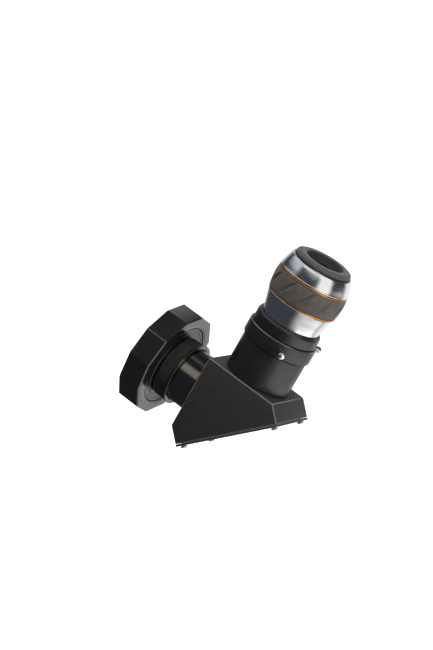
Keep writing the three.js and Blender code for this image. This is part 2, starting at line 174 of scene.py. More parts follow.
def crinkle_paint(name, low, high, grain):
    """Wrinkle-finish paint: small raised cells with shiny tops and dull valleys."""
    made, tree, surface = shader(name, 0.5, 0.0, IOR=1.5)
    place = millimetres(tree)
    warp = noise_of(tree, place, 1.2 * grain, 2.0)
    cells = tree.nodes.new("ShaderNodeTexVoronoi")
    cells.feature = "SMOOTH_F1"
    cells.inputs["Scale"].default_value = 1.9 * grain
    cells.inputs["Smoothness"].default_value = 0.6
    link(tree, place, cells.inputs["Vector"])
    bumps = maths(tree, "MULTIPLY", cells.outputs[0], -0.8)
    height = maths(tree, "ADD", bumps, maths(tree, "MULTIPLY", warp, 0.7))
    fine = noise_of(tree, place, 4.5 * grain, 3.0)
    relief = maths(tree, "ADD", height, maths(tree, "MULTIPLY", fine, 0.35))
    # The colour follows the wrinkle's height, darker in the valleys and lighter on the raised cells:
    # painted shade in the valleys.
    tone = smooth_step(tree, relief, -0.15, 0.45)
    link(tree, between(tree, tone, low, high), surface.inputs["Base Color"])
    link(tree, smooth_step(tree, relief, -0.1, 0.4, 0.72, 0.45), surface.inputs["Roughness"])
    bump(tree, surface, relief, 0.55, 0.00022)
    return made


def moulded_rubber(name, low, high, roughness, grain=2.2):
    made, tree, surface = shader(name, roughness, 0.0, IOR=1.45, Sheen_Weight=0.15, Sheen_Roughness=0.5)
    place = millimetres(tree)
    skin = noise_of(tree, place, grain, 4.0, 0.65)
    dust = noise_of(tree, place, 0.16, 3.0)
    tone = maths(tree, "ADD", maths(tree, "MULTIPLY", dust, 0.65), maths(tree, "MULTIPLY", skin, 0.35))
    link(tree, between(tree, smooth_step(tree, tone, 0.3, 0.7), low, high), surface.inputs["Base Color"])
    spread = smooth_step(tree, dust, 0.25, 0.75, roughness * 0.88, roughness * 1.1)
    link(tree, spread, surface.inputs["Roughness"])
    bump(tree, surface, skin, 0.35, 0.00005)
    return made


def polished(name, color, roughness, axis, marks=0.05):
    made, tree, surface = shader(name, roughness, 1.0)
    rings = noise_of(tree, turning_marks(tree, axis), 7.0, 3.0, 0.6)
    smudge = noise_of(tree, millimetres(tree), 0.09, 4.0, 0.6)
    dull = tuple(channel * 0.93 for channel in color)
    link(tree, between(tree, smudge, dull, color), surface.inputs["Base Color"])
    spread = smooth_step(tree, smudge, 0.3, 0.75, roughness * 0.8, roughness * 1.5)
    link(tree, spread, surface.inputs["Roughness"])
    bump(tree, surface, rings, marks, 0.00001)
    return made


def lens_glass(name, tint):
    made, tree, surface = shader(name, 0.02, 0.0, IOR=1.6, Transmission_Weight=1.0, Coat_Weight=0.4,
                                 Coat_IOR=1.7)
    surface.inputs["Coat Tint"].default_value = (*tint, 1)
    haze = noise_of(tree, millimetres(tree), 0.3, 2.0)
    clear = tuple(0.85 + 0.15 * channel for channel in tint)
    link(tree, between(tree, haze, clear, (0.97, 0.99, 1.0)), surface.inputs["Base Color"])
    link(tree, smooth_step(tree, haze, 0.2, 0.8, 0.01, 0.04), surface.inputs["Roughness"])
    return made


GLOSS = anodised("gloss_black", (0.010, 0.009, 0.008), (0.016, 0.015, 0.014), 0.13, "nose", 0.05, ior=1.85)
NOSE_GLOSS = anodised("polished_black", (0.17, 0.16, 0.14), (0.24, 0.225, 0.195), 0.15, "nose", 0.05, 1.0)
# Lighter metal for the clamp's top bevel: a painted highlight, the thin bright line of reflected light
# along that edge.
PAINTED_HIGHLIGHT_EDGE = polished("painted_highlight_edge", (0.42, 0.40, 0.38), 0.3, "eye", 0.1)
KNURL = anodised("knurled_black", (0.020, 0.018, 0.016), (0.032, 0.029, 0.026), 0.3, "nose", 0.1, 0.35, 1.7)
RECESS = anodised("machined_black", (0.016, 0.015, 0.014), (0.026, 0.024, 0.022), 0.27, "nose", 0.35,
                  0.2, 1.7)
SATIN = anodised("satin_black", (0.012, 0.011, 0.010), (0.019, 0.017, 0.015), 0.36, "eye", 0.22, 0.2, 1.8)
FLAT_BLACK = anodised("flat_black", (0.010, 0.010, 0.010), (0.018, 0.018, 0.018), 0.75, "eye", 0.3)
BORE_BLACK = anodised("bore_black", (0.008, 0.008, 0.008), (0.014, 0.014, 0.014), 0.65, "nose", 0.3)
PAINT = crinkle_paint("crinkle_paint", (0.016, 0.0145, 0.013), (0.050, 0.046, 0.042), 1.0)
EDGE = crinkle_paint("crinkle_edge", (0.10, 0.098, 0.098), (0.24, 0.235, 0.235), 1.3)
SILVER = polished("polished_silver", (0.86, 0.87, 0.89), 0.13, "eye")
NOSE_SILVER = polished("turned_aluminium", (0.62, 0.60, 0.55), 0.24, "nose", 0.2)
CHROME = polished("chrome", (0.90, 0.90, 0.91), 0.06, "eye", 0.02)
STEEL = polished("plated_steel", (0.42, 0.42, 0.42), 0.28, "nose", 0.1)
BRASS = polished("brass", (0.75, 0.55, 0.22), 0.25, "eye", 0.15)
ORANGE = polished("orange_anodised", (1.0, 0.34, 0.03), 0.26, "eye", 0.1)
GRIP = moulded_rubber("grip_rubber", (0.075, 0.068, 0.061), (0.112, 0.103, 0.094), 0.5)
CUP = moulded_rubber("eyecup_rubber", (0.066, 0.061, 0.058), (0.098, 0.092, 0.090), 0.62, 3.0)
# A darker copy of the eyecup rubber: painted shade for the inside of the opening.
CUP_PAINTED_SHADE = moulded_rubber("eyecup_painted_shade", (0.020, 0.018, 0.021), (0.033, 0.030, 0.034), 0.7, 3.0)
FOAM = moulded_rubber("foam", (0.02, 0.02, 0.02), (0.05, 0.05, 0.05), 0.9, 5.0)
NYLON = moulded_rubber("nylon", (0.62, 0.60, 0.54), (0.74, 0.72, 0.66), 0.45, 1.5)
GLASS = lens_glass("coated_glass", (0.55, 0.85, 0.65))
MIRROR = polished("mirror_coating", (0.93, 0.95, 0.96), 0.02, "nose", 0.0)


# ---- Mesh tools -----------------------------------------------------------------------------
ROUND = 192
OVERSHOOT = 2
SHARP = math.radians(32)


def fillet(outline, step=18.0):
    """Rounds the corners (r, h, radius) of a closed outline; a corner (r, h) stays sharp."""
    points = []
    for i, corner in enumerate(outline):
        here = Vector(corner[:2])
        if len(corner) < 3:
            points.append(tuple(here))
            continue
        before = Vector(outline[i - 1][:2]) - here
        after = Vector(outline[(i + 1) % len(outline)][:2]) - here
        half = before.angle(after) / 2
        if half > math.radians(88):
            points.append(tuple(here))
            continue
        reach = min(corner[2] / math.tan(half), 0.48 * before.length, 0.48 * after.length)
        radius = reach * math.tan(half)
        before.normalize()
        after.normalize()
        centre = here + (before + after).normalized() * (radius / math.sin(half))
        first = here + before * reach - centre
        last = here + after * reach - centre
        sweep = first.angle(last)
        steps = max(2, round(math.degrees(sweep) / step))
        for k in range(steps + 1):
            t = k / steps
            spoke = (first * math.sin((1 - t) * sweep) + last * math.sin(t * sweep)) / math.sin(sweep)
            points.append(tuple(centre + spoke))
    return points


def spline(points, steps=6):
    """A smooth curve through the points (Catmull-Rom)."""
    padded = [points[0], *points, points[-1]]
    curve = []
    for a, b, c, d in zip(padded, padded[1:], padded[2:], padded[3:]):
        a, b, c, d = (Vector(p) for p in (a, b, c, d))
        for k in range(steps):
            t = k / steps
            curve.append(tuple(0.5 * (2 * b + (c - a) * t + (2 * a - 5 * b + 4 * c - d) * t ** 2
                                      + (3 * b - a - 3 * c + d) * t ** 3)))
    return [*curve, tuple(points[-1])]


def ridges(radius, low, high, pitch, depth):
    """A thread's outline from low to high: crests at the radius, roots at radius minus depth."""
    count = max(1, round(abs(high - low) / pitch))
    step = (high - low) / count
    points = []
    for i in range(count):
        start = low + i * step
        points += [(radius, start), (radius, start + 0.12 * step), (radius - depth, start + 0.5 * step),
                   (radius - depth, start + 0.62 * step)]
    return [*points, (radius, high)]


def rows(radius, low, high, count):
    return [(radius, low + (high - low) * i / count) for i in range(count + 1)]


def turned(outline, sides=ROUND, shape=None, start=0.0, sweep=TAU):
    """Turns an outline round the local z axis. shape(r, h, angle) may move each point."""
    outline = fillet(outline)
    area = sum(a[0] * b[1] - b[0] * a[1] for a, b in zip(outline, [*outline[1:], outline[0]]))
    if area < 0:
        outline = outline[::-1]
    full = abs(sweep - TAU) < 1e-6
    columns = sides if full else sides + 1
    verts = []
    rings = []
    for r, h in outline:
        if r < 1e-6:
            rings.append([len(verts)] * columns)
            verts.append((0, 0, h))
            continue
        ring = []
        for j in range(columns):
            angle = start + sweep * j / sides
            radius, height = shape(r, h, angle) if shape else (r, h)
            ring.append(len(verts))
            verts.append((radius * math.cos(angle), radius * math.sin(angle), height))
        rings.append(ring)
    on_axis = outline[0][0] < 1e-6 and outline[-1][0] < 1e-6
    count = len(rings) - 1 if on_axis else len(rings)
    faces = []
    for i in range(count):
        lower, upper = rings[i], rings[(i + 1) % len(rings)]
        for j in range(sides):
            k = (j + 1) % columns
            quad = [lower[j], lower[k], upper[k], upper[j]]
            face = list(dict.fromkeys(quad))
            if len(face) > 2:
                faces.append(face)
    if not full:
        faces.append([ring[0] for ring in rings])
        faces.append([ring[-1] for ring in reversed(rings)])
    return verts, faces


def to_mesh(name, verts, faces, place):
    mesh = bpy.data.meshes.new(name)
    mesh.from_pydata([place @ Vector(v) for v in verts], [], faces)
    mesh.update()
    return mesh


def piece(mesh, body, node, slot, *materials):
    """Finishes a mesh as a piece that rides on a body and stands for a CAD node."""
    obj = bpy.data.objects.new(mesh.name, mesh)
    bpy.context.collection.objects.link(obj)
    for made in materials:
        mesh.materials.append(made)
    mesh.shade_smooth()
    mesh.set_sharp_from_angle(angle=SHARP)
    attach(obj, body)
    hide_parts(node)
    return obj


def turned_piece(node, body, slot, material, place, outline, **options):
    verts, faces = turned(outline, **options)
    return piece(to_mesh(node + "_fine", verts, faces, place), body, node, slot, material)


def accent(obj, place, material, chosen):
    """Gives another material to the faces whose local (radius, height) is chosen."""
    obj.data.materials.append(material)
    back = place.inverted()
    index = len(obj.data.materials) - 1
    for polygon in obj.data.polygons:
        centre = back @ polygon.center
        if chosen(math.hypot(centre.x, centre.y), centre.z):
            polygon.material_index = index


def cut_mesh(mesh, cutters):
    """Cuts closed meshes out of a mesh, exactly, and returns the new mesh."""
    scratch = [bpy.data.objects.new(f"scratch_{i}", m) for i, m in enumerate([mesh, *cutters])]
    for obj in scratch:
        bpy.context.collection.objects.link(obj)
    for cutter in scratch[1:]:
        modifier = scratch[0].modifiers.new(cutter.name, "BOOLEAN")
        modifier.operation = "DIFFERENCE"
        modifier.solver = "EXACT"
        modifier.object = cutter
    graph = bpy.context.evaluated_depsgraph_get()
    result = bpy.data.meshes.new_from_object(scratch[0].evaluated_get(graph))
    result.name = mesh.name
    for obj in scratch:
        bpy.data.objects.remove(obj)
    return result


def rod(radius, low, high, place, sides=96, index=0):
    """A closed cylinder for cutting, which runs on past its high end by the overshoot."""
    outline = [(0, low), (radius, low), (radius, high), (radius, high + OVERSHOOT), (0, high + OVERSHOOT)]
    verts, faces = turned(outline, sides)
    mesh = to_mesh("cutter", verts, faces, place)
    for polygon in mesh.polygons:
        polygon.material_index = index
    return mesh


def bevelled(name, corners, width, place, bevel, segments=3, edge_index=0):
    """A flat outline (x, y) in a local frame, made width thick about local z = 0, with rounded edges."""
    made = bmesh.new()
    base = [made.verts.new(place @ Vector((x, y, -width / 2))) for x, y in corners]
    face = made.faces.new(base)
    lifted = bmesh.ops.extrude_face_region(made, geom=[face])["geom"]
    shift = place.to_3x3() @ Vector((0, 0, width))
    bmesh.ops.translate(made, vec=shift, verts=[v for v in lifted if isinstance(v, bmesh.types.BMVert)])
    bmesh.ops.recalc_face_normals(made, faces=made.faces)
    bmesh.ops.bevel(made, geom=made.edges[:], offset=bevel * MM, segments=segments, profile=0.5,
                    affect="EDGES", material=edge_index, clamp_overlap=True)
    bmesh.ops.recalc_face_normals(made, faces=made.faces)
    mesh = bpy.data.meshes.new(name)
    made.to_mesh(mesh)
    made.free()
    return mesh


# ---- Rear port ------------------------------------------------------------------------------
RING_FLATS = 12
RING_APOTHEM = 46.8
RING_ROUNDING = 1.4
RING_CORNER = math.radians(26)
PORT_LOW, PORT_HIGH = nose_span("port_lock_ring")
ADAPTER_FACE = 21.2
WALL_BORE_R = 37.6
PORT_THREAD_R = 42.9
PORT_THREAD_END = 14.3
ADAPTER_R = 37.0
SEAT_FLANGE_R = 41.9
FLANGE_R = 26.4
THREAD_PITCH = 0.75


def ring_reach(angle, apothem):
    """Distance from the axis to a rounded twelve-sided outline, in a direction."""
    pitch = TAU / RING_FLATS
    off_corner = (angle - RING_CORNER + pitch / 2) % pitch - pitch / 2
    off_flat = pitch / 2 - abs(off_corner)
    inner = apothem - RING_ROUNDING
    contact = math.atan2(inner * math.tan(pitch / 2), apothem)
    if off_flat <= contact:
        return apothem / math.cos(off_flat)
    distance = inner / math.cos(pitch / 2)
    aside = distance * math.sin(off_corner)
    return distance * math.cos(off_corner) + math.sqrt(RING_ROUNDING ** 2 - aside ** 2)


def ring_shape(r, h, angle):
    if r < 44.5:
        return r, h
    return ring_reach(angle, RING_APOTHEM) - (RING_APOTHEM - r), h


def make_lock_ring():
    a = RING_APOTHEM
    low, high = PORT_LOW, PORT_HIGH
    outline = [
        (a - 1.6, low), (a, low + 0.9, 0.4), (a, high - 0.9, 0.35), (a - 0.9, high, 0.25),
        (39.2, high, 0.2), (38.9, high - 0.35, 0.2), (WALL_BORE_R, high - 0.35, 0.3),
        (WALL_BORE_R, PORT_THREAD_END, 0.2),
        (PORT_THREAD_R, PORT_THREAD_END, 0.3),
        *ridges(PORT_THREAD_R, 13.4, low + 1.4, 1.0, -0.55),
        (43.4, low + 0.5), (43.9, low),
    ]
    turned_piece("port_lock_ring", "lock_ring", "gloss_black_metal", GLOSS, NOSE, outline, sides=360,
                 shape=ring_shape)


def make_adapter():
    low, high = nose_span("port_adapter")
    bore = 22.0
    outline = [
        *ridges(bore, high - 1.5, low + 2, 0.9, -0.35),
        (bore, low + 0.6, 0.2), (bore + 0.6, low), (30.5, low), (30.5, low + 0.5),
        (31.5, low + 0.5),
        (31.5, low), (41.5, low, 0.3), (SEAT_FLANGE_R, low + 0.5, 0.2),
        (SEAT_FLANGE_R, 14.0, 0.3), (ADAPTER_R, 14.0),
        (ADAPTER_R, ADAPTER_FACE, 0.4), (34.6, ADAPTER_FACE, 0.1), (34.3, ADAPTER_FACE - 0.35, 0.1),
        (30.8, ADAPTER_FACE - 0.35, 0.1), (30.5, ADAPTER_FACE, 0.1), (26.0, ADAPTER_FACE, 0.3),
        *ridges(FLANGE_R, ADAPTER_FACE + 0.8, high - 0.6, THREAD_PITCH, 0.4),
        (25.9, high), (22.4, high),
    ]
    turned_piece("port_adapter", "rear_port_adapter", "satin_black_metal", RECESS, NOSE, outline, sides=240)


KNURL_TEETH = 136
KNURL_DEPTH = 0.42
KNURL_R = 28.4
KNURL_MARGIN = 2.6
COUPLING_LIP_R = 29.25


def knurl_shape(low, high, floor):
    """Crossed diagonal grooves between two heights, on the surface outside the floor radius."""
    pitch = TAU * KNURL_R / KNURL_TEETH

    def shape(r, h, angle):
        if r < floor or h < low or h > high:
            return r, h
        turns = angle * KNURL_TEETH / TAU
        one = abs((turns + h / pitch) % 1 - 0.5) * 2
        two = abs((turns - h / pitch) % 1 - 0.5) * 2
        fade = min(1, (h - low) / 0.5, (high - h) / 0.5)
        return r - KNURL_DEPTH * fade * (1 - min(one, two)), h

    return shape


def make_coupling_ring():
    low, high = nose_span("coupling_ring")
    outline = [
        *ridges(26.9, low + 9.6, low + 0.8, 2.2, -0.2),
        (27.4, low), (27.9, low, 0.2), (27.9, low + 0.8),
        (28.0, low + 0.9), (KNURL_R, low + 1.3),
        *rows(KNURL_R, low + 1.5, high - KNURL_MARGIN, 38),
        (27.9, high - 2.2, 0.2), (27.9, high - 1.8, 0.2), (COUPLING_LIP_R, high - 1.5, 0.3),
        (COUPLING_LIP_R, high, 0.35), (26.1, high, 0.3), (25.5, high - 0.6, 0.1),
        (25.5, low + 10.0),
    ]
    ring = turned_piece("coupling_ring", "coupling", "knurled_black_metal", KNURL, NOSE, outline,
                        sides=KNURL_TEETH * 6, shape=knurl_shape(low + 1.5, high - KNURL_MARGIN, 28.2))
    accent(ring, NOSE, GLOSS, lambda r, h: h > high - 1.9)


NOSE_BORE_R = 22.5
NOSE_R = 25.2
NOSE_THREAD_R = 24.3
NOSE_GROOVE_R = 24.7
NOSE_RING_R = 27.0


def make_nose():
    low, high = nose_span("nose_barrel")
    ring_low, ring_high = nose_span("nose_lock_ring")
    outline = [
        *ridges(NOSE_BORE_R, high - 1, low + 2, 0.9, -0.35),
        (NOSE_BORE_R, low + 0.5), (23.0, low), (FLANGE_R, low, 0.3), (FLANGE_R, low + 2.7, 0.2),
        (NOSE_R, low + 2.7, 0.2),
        (NOSE_R, ring_low - 1.6, 0.3), (NOSE_GROOVE_R, ring_low - 1.2, 0.2),
        (NOSE_GROOVE_R, ring_low - 0.6, 0.2),
        (NOSE_R, ring_low - 0.2, 0.1), (NOSE_R, ring_high, 0.1),
        *ridges(NOSE_THREAD_R, ring_high, high - 0.4, THREAD_PITCH, 0.35),
        (23.9, high), (22.9, high),
    ]
    turned_piece("nose_barrel", "diagonal", "gloss_black_metal", NOSE_GLOSS, NOSE, outline, sides=240)
    teeth = 96

    def milled(r, h, angle):
        if r < 26.8:
            return r, h
        return r - 0.12 * (1 + math.cos(angle * teeth)) / 2, h

    collar = [
        (25.5, ring_low), (26.6, ring_low, 0.3), (NOSE_RING_R, ring_low + 0.4, 0.1),
        (NOSE_RING_R, ring_high - 0.3, 0.1), (26.7, ring_high), (25.5, ring_high),
    ]
    turned_piece("nose_lock_ring", "diagonal", "polished_silver", NOSE_SILVER, NOSE, collar,
                 sides=teeth * 4, shape=milled)


# ---- Diagonal housing -----------------------------------------------------------------------
FACE_N = -HOUSING_HIGH.y / MM
TOP = TOP_Z / MM
WIDTH = (HOUSING_HIGH.x - HOUSING_LOW.x) / MM
LEG = 68.0
COVER_T = 2.0
EDGE_BEVEL = 0.7
LIGHT_BORE_R = 23.0
NOSE_SOCKET_DEPTH = 1.8
COVER_HOLE_R = 1.8
SCREW_HEAD_R = 2.8
HALF_SQRT = math.sqrt(0.5)
INWARDS = Vector((-HALF_SQRT, HALF_SQRT))
SIDE = Matrix(((0, 0, -1, 0), (-1, 0, 0, 0), (0, 1, 0, 0), (0, 0, 0, 1))) @ SCALE


# The cover is a flat plate on the slope: its box gives the middle of the plate and its length.
SLOPE_MIDDLE = Vector(((-COVER_LOW.y - COVER_HIGH.y) / 2 / MM, (COVER_LOW.z + COVER_HIGH.z) / 2 / MM))
SLOPE_MIDDLE -= INWARDS * COVER_T / 2
SLOPE_LENGTH = ((COVER_HIGH.z - COVER_LOW.z) / MM - COVER_T * HALF_SQRT) / HALF_SQRT
SLOPE = Matrix((
    (0, -1, 0, 0),
    (-HALF_SQRT, 0, -HALF_SQRT, -SLOPE_MIDDLE.x * MM),
    (HALF_SQRT, 0, -HALF_SQRT, SLOPE_MIDDLE.y * MM),
    (0, 0, 0, 1),
)) @ SCALE
SCREW_INSET = 5.0
SCREW_PLACES = [(end * (SLOPE_LENGTH / 2 - SCREW_INSET), -across * (WIDTH / 2 - SCREW_INSET))
                for end in (1, -1) for across in (1, -1)]


def at(place, x, y, z=0.0):
    return place @ Matrix.Translation((x, y, z))


def make_housing():
    along = Vector((HALF_SQRT, HALF_SQRT))
    skin = COVER_T + 0.3
    low = SLOPE_MIDDLE - along * SLOPE_LENGTH / 2 + INWARDS * skin
    high = SLOPE_MIDDLE + along * SLOPE_LENGTH / 2 + INWARDS * skin
    corners = [(FACE_N, TOP), (FACE_N, TOP - LEG), tuple(low), tuple(high), (FACE_N + LEG, TOP)]
    block = bevelled("diagonal_housing_fine", corners, WIDTH, SIDE, EDGE_BEVEL, 3, 1)
    for made in (PAINT, EDGE, BORE_BLACK):
        block.materials.append(made)
    eye_down = EYE @ Matrix.Diagonal((1, -1, -1, 1))
    cutters = [
        rod(24.6, FACE_N - 3, FACE_N + NOSE_SOCKET_DEPTH, NOSE, index=2),
        rod(LIGHT_BORE_R, FACE_N, EYE_N + 21, NOSE, index=2),
        rod(26.9, -4, 2.3, eye_down, index=2),
        rod(LIGHT_BORE_R, 0, TOP + 20, eye_down, index=2),
    ]
    mouth = [(-35, -26), (35, -26), (35, 26), (-35, 26)]
    pocket = bevelled("cutter", mouth, 22, at(SLOPE, 0, 0, -7), 2.0, 3, 2)
    for polygon in pocket.polygons:
        polygon.material_index = 2
    cutters.append(pocket)
    cutters += [rod(COVER_HOLE_R, -11, 0, at(SLOPE, x, y), 24, 2) for x, y in SCREW_PLACES]
    piece(cut_mesh(block, cutters), "diagonal", "diagonal_housing", "crinkle_black_paint")


def make_cover():
    length, half = SLOPE_LENGTH / 2, WIDTH / 2
    corners = [(-length, -half), (length, -half), (length, half), (-length, half)]
    plate = bevelled("mirror_cover_fine", corners, COVER_T, at(SLOPE, 0, 0, -COVER_T / 2), 0.35, 2, 1)
    for made in (PAINT, EDGE, BORE_BLACK):
        plate.materials.append(made)
    holes = [rod(COVER_HOLE_R, -COVER_T - 1, 1, at(SLOPE, x, y), 32, 2) for x, y in SCREW_PLACES]
    piece(cut_mesh(plate, holes), "diagonal", "mirror_cover", "crinkle_black_paint")


def make_cover_screws():
    outline = [
        (0, -9.5), *ridges(1.5, -9.2, -0.9, 0.5, 0.22),
        (1.5, 0.3, 0.1), (SCREW_HEAD_R, 0.3, 0.25), (SCREW_HEAD_R, 1.2, 0.5), (2.1, 2.05, 0.8),
        (1.0, 2.2), (0, 2.2),
    ]
    for i, (x, y) in enumerate(SCREW_PLACES):
        turn = Matrix.Rotation(0.5 + 1.3 * i, 4, "Z")
        place = at(SLOPE, x, y) @ turn
        verts, faces = turned(outline, 40)
        screw = to_mesh(f"cover_screw_{i + 1}_fine", verts, faces, place)
        slots = [bevelled("cutter", [(-1.75, -0.28), (1.75, -0.28), (1.75, 0.28), (-1.75, 0.28)], 2.4,
                          at(place, 0, 0, 2.4) @ Matrix.Rotation(quarter * math.pi / 2, 4, "Z"), 0.08, 1)
                 for quarter in (0, 1)]
        piece(cut_mesh(screw, slots), "diagonal", f"cover_screw_{i + 1}", "screw_steel", STEEL)


def make_mirror():
    front = -((SLOPE_MIDDLE.x - SLOPE_MIDDLE.y - EYE_N) * HALF_SQRT)
    plates = {"diagonal_mirror": (66, 48, front + 8, 8, MIRROR, "mirror_coating", 0.6),
              "mirror_carrier": (66, 48, front + 13.3, 5, FLAT_BLACK, "matte_black_metal", 0.5)}
    for node, (length, width, top, thick, made, slot, bevel) in plates.items():
        corners = [(-length / 2, -width / 2), (length / 2, -width / 2), (length / 2, width / 2),
                   (-length / 2, width / 2)]
        place = at(SLOPE, 0, 0, top - thick / 2)
        piece(bevelled(node + "_fine", corners, thick, place, bevel), "diagonal", node, slot, made)
    pad_low = front + 13.6
    pad_high = -COVER_T - 0.3
    for name, along in (("mirror_pad_upper", 22), ("mirror_pad_lower", -22)):
        corners = [(along - 7, -20), (along + 7, -20), (along + 7, 20), (along - 7, 20)]
        place = at(SLOPE, 0, 0, (pad_low + pad_high) / 2)
        pad = bevelled(name + "_fine", corners, pad_high - pad_low, place, 0.5)
        piece(pad, "diagonal", name, "rubber_pad", FOAM)


# ---- Eyepiece holder ------------------------------------------------------------------------
SCREW_H = 39.7
SCREW_ANGLES = (-150, -30)
HOLDER_BORE_R = 25.7
LIGHT_STOP_R = 24.6
SPIGOT_R = 26.6
HOLDER_R = 29.0
CLAMP_R = 30.7
CLAMP_CHAMFER = 0.75
GROOVE_R = 27.0
GROOVE_LOW_H = 35.5
TOP_RING_R = 28.9
HOLDER_TOP_H = 57.2


def make_holder():
    low, high = eye_span("holder_tube")
    tube = [
        (HOLDER_BORE_R, 19.0, 0.2), (LIGHT_STOP_R, 19.0, 0.2), (LIGHT_STOP_R, low, 0.2),
        *ridges(SPIGOT_R, low + 0.3, -0.2, THREAD_PITCH, 0.35),
        (26.2, 0.3), (28.4, 0.3, 0.2), (HOLDER_R, 0.9, 0.3), (HOLDER_R, high - 0.4, 0.2),
        (28.6, high, 0.1),
        (HOLDER_BORE_R, high, 0.2),
    ]
    turned_piece("holder_tube", "diagonal", "satin_black_metal", SATIN, EYE, tube)
    low, high = eye_span("clamp_body")
    clamp = [
        (HOLDER_BORE_R, low, 0.2), (29.6, low, 0.3), (CLAMP_R, low + 0.9, 0.4),
        (CLAMP_R, high - CLAMP_CHAMFER, 0.3),
        (30.1, high, 0.25), (GROOVE_R, high), (GROOVE_R, GROOVE_LOW_H, 0.2),
        (HOLDER_BORE_R, GROOVE_LOW_H, 0.2),
    ]
    verts, faces = turned(clamp)
    holes = [radial_rod(2.35, 24, 35, angle) for angle in SCREW_ANGLES]
    ring = cut_mesh(to_mesh("clamp_body_fine", verts, faces, EYE), holes)
    body = piece(ring, "diagonal", "clamp_body", "satin_black_metal", SATIN)
    # The clamp's top bevel gets the lighter metal: a painted highlight along the edge.
    accent(body, EYE, PAINTED_HIGHLIGHT_EDGE, lambda r, h: r > 30.25 and h > high - 0.5)
    low, high = eye_span("holder_top_ring")
    cap = [
        (HOLDER_BORE_R, low, 0.2), (26.7, low, 0.3), (26.7, 46.5, 0.2), (TOP_RING_R, 46.5, 0.3),
        (TOP_RING_R, 52.0), (TOP_RING_R, 55.0, 2.0), (28.0, high, 0.9), (26.2, high, 0.35),
        (HOLDER_BORE_R, high - 0.4, 0.1),
    ]
    turned_piece("holder_top_ring", "diagonal", "satin_black_metal", SATIN, EYE, cap)
    low, high = eye_span("compression_ring")
    band = [(25.75, low, 0.2), (SPIGOT_R, low, 0.2), (SPIGOT_R, high, 0.2), (25.75, high, 0.2)]
    gap = math.radians(2.8)
    turned_piece("compression_ring", "diagonal", "brass", BRASS, EYE, band,
                 start=math.pi / 2 + gap, sweep=TAU - 2 * gap)


def radial(angle):
    """A frame whose local z points outwards from the eyepiece axis at the thumbscrews' height."""
    turn = Matrix.Rotation(math.radians(angle), 4, "Z")
    return EYE @ Matrix.Translation((0, 0, SCREW_H)) @ turn @ Matrix.Rotation(math.pi / 2, 4, "Y")


def radial_rod(radius, low, high, angle):
    return rod(radius, low, high, radial(angle), 48)


def make_thumbscrews():
    teeth = 24

    def milled(r, h, angle):
        if r < 2.9 or not 34.6 < h < 41.4:
            return r, h
        return r - 0.16 * (1 + math.cos(angle * teeth)) / 2, h

    screw = [
        (0, 31.2), (1.1, 31.2), (1.1, 28.7), *ridges(2.0, 28.6, 32.0, 0.7, 0.3),
        (1.7, 32.3, 0.1), (2.3, 32.5, 0.2), (2.5, 33.3, 0.2), (3.0, 34.0, 0.3),
        *rows(3.0, 34.5, 41.5, 14), *spline([(3.0, 41.8), (2.9, 42.8), (2.4, 43.5), (1.3, 43.9)]),
        (0, 44.0),
    ]
    tip = [(0, 26.95), (1.7, 26.95, 0.2), (1.7, 28.15, 0.2), (0.8, 28.15), (0.8, 30.3, 0.1), (0, 30.35)]
    for i, angle in enumerate(SCREW_ANGLES, 1):
        body = f"thumbscrew_{i}"
        turned_piece(body, body, "chrome", CHROME, radial(angle), screw, sides=teeth * 6, shape=milled)
        turned_piece(f"thumbscrew_tip_{i}", body, "nylon", NYLON, radial(angle), tip, sides=32)


# ---- Eyepiece -------------------------------------------------------------------------------
BARREL_R = 25.4
UNDERCUT_R = 24.8
OPTICS_R = 24.0
NECK_R = 22.4
LENS_R = 18.6
LENS_CURVE_R = 16.2
STOP_R = 15.0
SPACER_BORE_R = 16.6
EYE_LIP_R = 13.5
SEAT_R = 28.8
SLEEVE_BORE_R = 29.1
COLLAR_BORE_R = 25.2
COLLAR_FLANGE_R = 22.7
COLLAR_FLANGE_H = 100.2
CUP_R = 24.9
CARRIER_BORE_R = 23.1
CARRIER_LIP_R = 20.5
GROOVES = 11
GROOVE_MIDDLE_H = 88.2
GROOVE_HALF_H = 7.3
GROOVE_FIRST = math.radians(137.5)
GROOVE_SLANT = math.radians(1.04)
GROOVE_HALF_W = 2.7
GROOVE_DEPTH = 1.35


def grooved(r, h, angle):
    """Slanted leaf-shaped hollows round the grip, steeper on their leading side."""
    along = (h - GROOVE_MIDDLE_H) / GROOVE_HALF_H
    if r < 30.9 or abs(along) >= 1:
        return r, h
    pitch = TAU / GROOVES
    middle = GROOVE_FIRST + GROOVE_SLANT * (h - GROOVE_MIDDLE_H)
    off = ((angle - middle + pitch / 2) % pitch - pitch / 2) * r
    width = GROOVE_HALF_W * (1 - along ** 2)
    if abs(off) >= width:
        return r, h
    across = (off / width + 1) / 2
    return r - GROOVE_DEPTH * (1 - along ** 2) ** 0.7 * math.sin(math.pi * across ** 0.6), h


def make_eyepiece_barrel():
    low, high = eye_span("eyepiece_barrel")
    bore = 22.8
    outline = [
        (bore, high, 0.2), (bore, low + 6),
        *ridges(bore + 0.5, low + 5.5, low + 0.6, THREAD_PITCH, 0.4),
        (bore + 0.8, low), (24.7, low, 0.2), (BARREL_R, low + 0.8, 0.3), (BARREL_R, 29.0),
        (UNDERCUT_R, 29.6),
        (UNDERCUT_R, 47.4), (BARREL_R, 48.0), (BARREL_R, HOLDER_TOP_H), (OPTICS_R, HOLDER_TOP_H),
        (OPTICS_R, high, 0.3),
    ]
    turned_piece("eyepiece_barrel", "eyepiece", "polished_silver", SILVER, EYE, outline)


